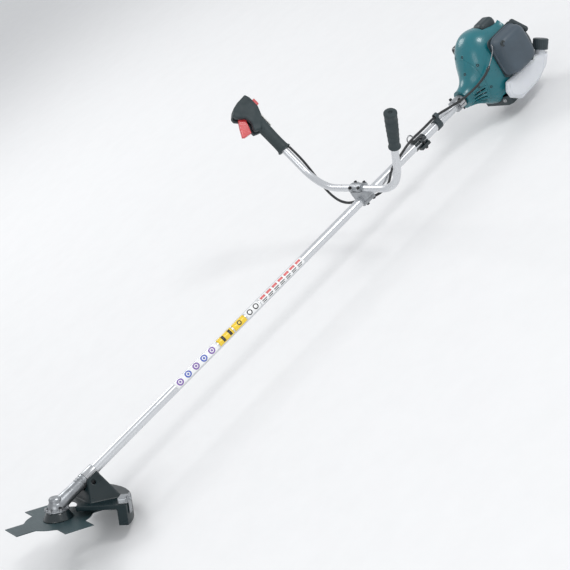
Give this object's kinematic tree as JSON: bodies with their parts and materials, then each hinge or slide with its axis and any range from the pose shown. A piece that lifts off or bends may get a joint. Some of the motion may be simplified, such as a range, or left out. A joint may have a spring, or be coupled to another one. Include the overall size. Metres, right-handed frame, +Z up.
{
  "type": "brush cutter",
  "caption": "Petrol brush cutter: teal two-stroke engine, straight alloy tube with drive shaft, bicycle handlebar, harness ring, bevel gear head, steel arm blade and guard.",
  "frame": {"origin": "centre of the flat base of the engine foot", "axes": "+X along the main tube towards the cutting head, +Z up, +Y to the operator's left"},
  "size_m": [2.0091, 0.6937, 0.4645],
  "materials": {
    "teal_cover": "moulded, glossy",
    "dark_plastic": "fine moulded texture",
    "slate_plastic": "fine moulded texture",
    "tank_plastic": "translucent white",
    "cast_alloy": "die cast",
    "tube_alloy": "satin silver",
    "steel": "machined",
    "blade_steel": "dark blue-green lacquer",
    "black_steel": "black oxide",
    "rubber": "matt",
    "red_plastic": "moulded",
    "cable_cover": "corrugated",
    "iron": "as cast",
    "filter_felt": "felt",
    "ceramic": "glazed",
    "primer_clear": "soft, smooth",
    "bush_plastic": "smooth"
  },
  "bodies": {
    "frame": {"air_cleaner_base": "dark_plastic", "air_cleaner_cover": "slate_plastic", "air_filter": "filter_felt", "ball_bearings": "steel", "blade_guard": "dark_plastic", "cable_strap": "dark_plastic", "carburettor": "cast_alloy", "clamp_block": "cast_alloy", "clamp_bolts": "black_steel", "clamp_cap": "cast_alloy", "clamp_strap": "cast_alloy", "clutch_housing": "teal_cover", "cone_cover": "black_steel", "crankcase": "cast_alloy", "cylinder": "cast_alloy", "engine_clamp": "cast_alloy", "engine_cover": "teal_cover", "engine_foot": "dark_plastic", "fuel_tank": "tank_plastic", "gear_case": "cast_alloy", "grease_plug": "black_steel", "guard_bracket": "cast_alloy", "handlebar": "tube_alloy", "hanger_band": "dark_plastic", "line_cutter": "steel", "main_tube": "tube_alloy", "muffler": "black_steel", "piston_set": "cast_alloy", "plain_grip": "rubber", "plug_cap": "dark_plastic", "shaft_bushes": "bush_plastic", "socket_bolts": "black_steel", "spark_plug": "ceramic", "starter_housing": "dark_plastic", "throttle_cable": "cable_cover", "throttle_shell_left": "dark_plastic", "throttle_shell_right": "dark_plastic"},
    "cutter": {"cutting_blade": "blade_steel", "receiver_washer": "steel", "clamp_washer": "steel", "blade_nut": "steel", "output_shaft": "steel", "bevel_gear": "steel"},
    "drive": {"drive_shaft": "steel", "bevel_pinion": "steel", "clutch_drum": "steel"},
    "crank": {"crankshaft": "steel", "flywheel": "cast_alloy"},
    "shoe_upper": {"clutch_shoe_upper": "iron"},
    "shoe_lower": {"clutch_shoe_lower": "iron"},
    "trigger": {"throttle_trigger": "red_plastic"},
    "carb_throttle": {"throttle_arm": "steel"},
    "lock": {"lock_lever": "primer_clear"},
    "switch": {"stop_switch": "red_plastic"},
    "choke": {"choke_lever": "dark_plastic"},
    "primer": {"primer_bulb": "primer_clear"},
    "fuel_cap": {"fuel_cap": "dark_plastic"},
    "ring": {"hanger_ring": "steel"},
    "starter_grip": {"starter_handle": "dark_plastic"},
    "reel": {"starter_reel": "bush_plastic"}
  },
  "joints": [
    {"name": "blade_spin", "type": "hinge", "parent": "frame", "child": "cutter", "pos_m": [1.7188, 0, 0.071], "axis": [-0.5, 0, 0.866], "continuous": true},
    {"name": "drive_spin", "type": "hinge", "parent": "frame", "child": "drive", "pos_m": [1.574, 0, 0.096], "axis": [1, 0, 0], "continuous": true},
    {"name": "crank_spin", "type": "hinge", "parent": "frame", "child": "crank", "pos_m": [-0.052, 0, 0.096], "axis": [1, 0, 0], "continuous": true},
    {"name": "shoe_upper_swing", "type": "hinge", "parent": "crank", "child": "shoe_upper", "pos_m": [0.058, 0.017, 0.102], "axis": [-1, 0, 0], "range_deg": [0, 1.5], "stiffness_Nm_per_rad": 20},
    {"name": "shoe_lower_swing", "type": "hinge", "parent": "crank", "child": "shoe_lower", "pos_m": [0.058, -0.017, 0.09], "axis": [-1, 0, 0], "range_deg": [0, 1.5], "stiffness_Nm_per_rad": 20},
    {"name": "trigger_pull", "type": "hinge", "parent": "frame", "child": "trigger", "pos_m": [0.55886, -0.33016, 0.38747], "axis": [-0.0349, 0.866, 0.4988], "range_deg": [0, 14], "stiffness_Nm_per_rad": 0.4, "springref_deg": -5.73},
    {"name": "carb_throttle_turn", "type": "hinge", "parent": "frame", "child": "carb_throttle", "pos_m": [-0.044, 0.05, 0.176], "axis": [0, 0, 1], "range_deg": [0, 49]},
    {"name": "lock_press", "type": "hinge", "parent": "frame", "child": "lock", "pos_m": [0.51012, -0.31666, 0.36062], "axis": [0.0349, -0.866, -0.4988], "range_deg": [0, 3], "stiffness_Nm_per_rad": 0.3, "springref_deg": -2.86},
    {"name": "switch_slide", "type": "slide", "parent": "frame", "child": "switch", "axis": [-0.0604, -0.5, 0.8639], "range_m": [0, 0.006]},
    {"name": "choke_turn", "type": "hinge", "parent": "frame", "child": "choke", "pos_m": [-0.028, 0.066, 0.112], "axis": [0, 1, 0], "range_deg": [-40, 0]},
    {"name": "primer_press", "type": "slide", "parent": "frame", "child": "primer", "axis": [0, 1, 0], "range_m": [0, 0.003], "stiffness_N_per_m": 800},
    {"name": "fuel_cap_turn", "type": "hinge", "parent": "frame", "child": "fuel_cap", "pos_m": [-0.15, 0.068, 0.066], "axis": [-0.5515, 0.1905, 0.8122], "continuous": true},
    {"name": "ring_swing", "type": "hinge", "parent": "frame", "child": "ring", "pos_m": [0.33, 0, 0.1126], "axis": [1, 0, 0], "range_deg": [-20, 60]},
    {"name": "starter_pull", "type": "slide", "parent": "frame", "child": "starter_grip", "axis": [0, 0.6, 0.8], "range_m": [0, 0.6], "stiffness_N_per_m": 8, "springref_m": -0.05},
    {"name": "reel_turn", "type": "hinge", "parent": "frame", "child": "reel", "pos_m": [-0.142, 0, 0.096], "axis": [1, 0, 0], "range_deg": [0, 1228]}
  ],
  "couplings": [
    {"joint": "drive_spin", "follows": "blade_spin", "ratio": -1.4615},
    {"joint": "shoe_lower_swing", "follows": "shoe_upper_swing", "ratio": 1},
    {"joint": "carb_throttle_turn", "follows": "trigger_pull", "ratio": 3.5},
    {"joint": "reel_turn", "follows": "starter_pull", "rad_per_m": 35.714}
  ]
}
